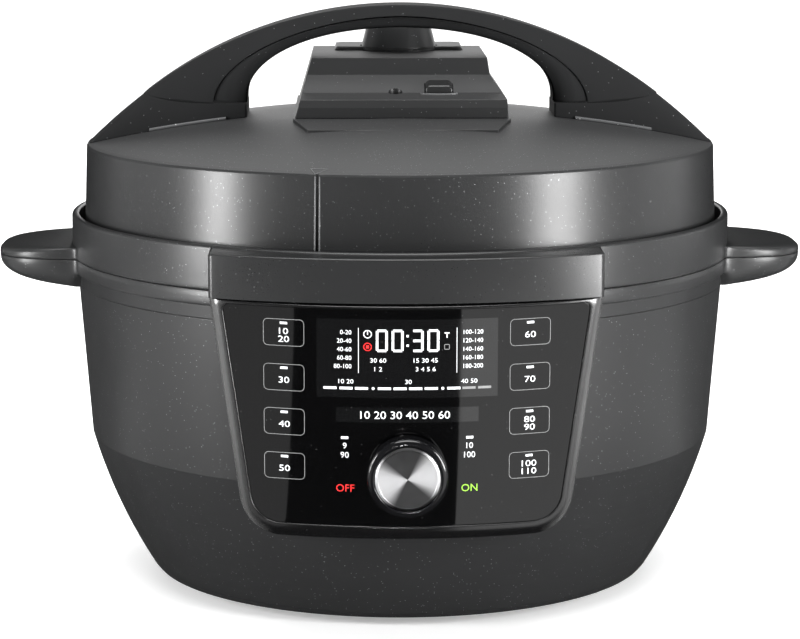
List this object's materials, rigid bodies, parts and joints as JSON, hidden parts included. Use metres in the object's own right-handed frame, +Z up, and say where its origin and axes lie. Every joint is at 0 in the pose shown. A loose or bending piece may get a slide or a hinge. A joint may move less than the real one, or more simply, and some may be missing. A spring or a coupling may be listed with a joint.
{
  "type": "electric pressure cooker",
  "caption": "Wide round electric pressure cooker with a bayonet lid, an arch handle over a steam cover, two side handles and a tilted touch panel with a dial.",
  "frame": {"origin": "on the axis of the cooking pot, at the height of the counter that the feet stand on", "axes": "+X to the right of someone facing the panel, +Y to the back, +Z up; the front panel faces -Y"},
  "size_m": [0.4232, 0.3902, 0.3017],
  "materials": {
    "housing": "satin metallic grey with fine flecks",
    "collar": "satin metallic grey with fine flecks",
    "lid": "satin metallic grey with fine flecks",
    "handle": "satin dark grey",
    "grip": "fine grained dark grey",
    "cover": "fine textured",
    "band": "satin metallic grey",
    "panel_black": "polished black",
    "panel_glass": "smoked, printed from behind",
    "display": "lit segment display",
    "light_guide": "translucent white",
    "board": "solder mask",
    "component": "moulded",
    "screw": "zinc plated",
    "dial_cap": "spun",
    "dial_ring": "polished black",
    "shaft": "turned",
    "plunger": "natural",
    "liner": "rolled",
    "bayonet": "cast and machined",
    "heater": "cast and turned",
    "element": "heat tinted",
    "sensor": "drawn",
    "spring": "drawn wire",
    "ceramic_body": "bisque",
    "inlet": "fine textured",
    "brass": "drawn",
    "wire": "extruded",
    "cup": "smoked translucent",
    "pot": "brushed",
    "seal": "silicone",
    "steel": "polished",
    "feet": "moulded",
    "cap": "fine grained",
    "button": "satin",
    "float": "moulded red",
    "valve": "turned"
  },
  "bodies": {
    "base": {"base_housing": "housing", "bottom_cover": "cover", "feet": "feet", "base_screws": "screw", "lower_collar": "collar", "upper_collar": "collar", "collar_screws": "screw", "front_band": "band", "panel_frame": "panel_black", "panel_glass": "panel_glass", "display_module": "display", "message_display": "display", "key_lights": "light_guide", "control_board": "board", "board_screws": "screw", "dial_encoder": "component", "liner": "liner", "bayonet_ring": "bayonet", "flange_screws": "screw", "heating_plate": "heater", "heating_element": "element", "plate_supports": "screw", "sensor_spring": "spring", "pressure_switch": "ceramic_body", "thermal_fuse": "ceramic_body", "power_board": "board", "board_parts": "component", "power_inlet": "inlet", "inlet_pins": "brass", "inlet_screws": "screw", "wire_harness": "wire"},
    "sensor": {"sensor_can": "sensor"},
    "dial_stem": {"dial_plunger": "plunger"},
    "dial": {"dial_shaft": "shaft", "dial_ring": "dial_ring", "dial_cap": "dial_cap"},
    "cup": {"condensation_cup": "cup"},
    "pot": {"inner_pot": "pot"},
    "seal": {"sealing_ring": "seal"},
    "lid": {"lid_shell": "lid", "lid_plate": "steel", "ring_rack": "steel", "lid_studs": "screw", "handle_feet": "handle", "handle_cover": "handle", "handle_grip": "grip", "handle_screws": "screw", "steam_cover": "cap", "vent_pipe": "brass", "vent_nut": "screw", "button_spring": "spring"},
    "button": {"release_button": "button"},
    "lever": {"release_lever": "plunger"},
    "valve": {"valve_weight": "valve"},
    "vent_cover": {"vent_cap": "cap"},
    "shield": {"anti_block_shield": "steel"},
    "float": {"float_pin": "float", "float_seal": "seal"}
  },
  "joints": [
    {"name": "pot_lift", "type": "slide", "parent": "base", "child": "pot", "axis": [0, 0, 1], "range_m": [0, 0.16]},
    {"name": "lid_lift", "type": "slide", "parent": "pot", "child": "seal", "axis": [0, 0, 1], "range_m": [0, 0.12]},
    {"name": "lid_turn", "type": "hinge", "parent": "seal", "child": "lid", "pos_m": [0, 0, 0.2], "axis": [0, 0, 1], "range_deg": [-22.5, 0]},
    {"name": "sensor_press", "type": "slide", "parent": "base", "child": "sensor", "axis": [0, 0, -1], "range_m": [0, 0.0015], "stiffness_N_per_m": 1500, "springref_m": -0.001, "deforming": ["sensor_spring"]},
    {"name": "dial_press", "type": "slide", "parent": "base", "child": "dial_stem", "axis": [0, 0.9986, 0.0523], "range_m": [0, 0.001], "stiffness_N_per_m": 800, "springref_m": -0.001},
    {"name": "dial_turn", "type": "hinge", "parent": "dial_stem", "child": "dial", "pos_m": [0, -0.18272, 0.08991], "axis": [0, -0.9986, -0.0523], "continuous": true},
    {"name": "cup_pull", "type": "slide", "parent": "base", "child": "cup", "axis": [0, 1, 0], "range_m": [0, 0.04]},
    {"name": "button_press", "type": "slide", "parent": "lid", "child": "button", "axis": [0, 0, -1], "range_m": [0, 0.003], "stiffness_N_per_m": 500, "springref_m": -0.001, "deforming": ["button_spring"]},
    {"name": "lever_tilt", "type": "hinge", "parent": "lid", "child": "lever", "pos_m": [0.0195, 0.005, 0.246], "axis": [1, 0, 0], "range_deg": [0, 4.8]},
    {"name": "valve_lift", "type": "slide", "parent": "lid", "child": "valve", "axis": [0, 0, 1], "range_m": [0, 0.003]},
    {"name": "cap_pull", "type": "slide", "parent": "lid", "child": "vent_cover", "axis": [0, 0, 1], "range_m": [0, 0.02]},
    {"name": "shield_pull", "type": "slide", "parent": "lid", "child": "shield", "axis": [0, 0, -1], "range_m": [0, 0.012]},
    {"name": "float_rise", "type": "slide", "parent": "lid", "child": "float", "axis": [0, 0, 1], "range_m": [0, 0.005]}
  ],
  "couplings": [
    {"joint": "lever_tilt", "follows": "button_press", "rad_per_m": 27.027},
    {"joint": "valve_lift", "follows": "button_press", "ratio": 1}
  ]
}
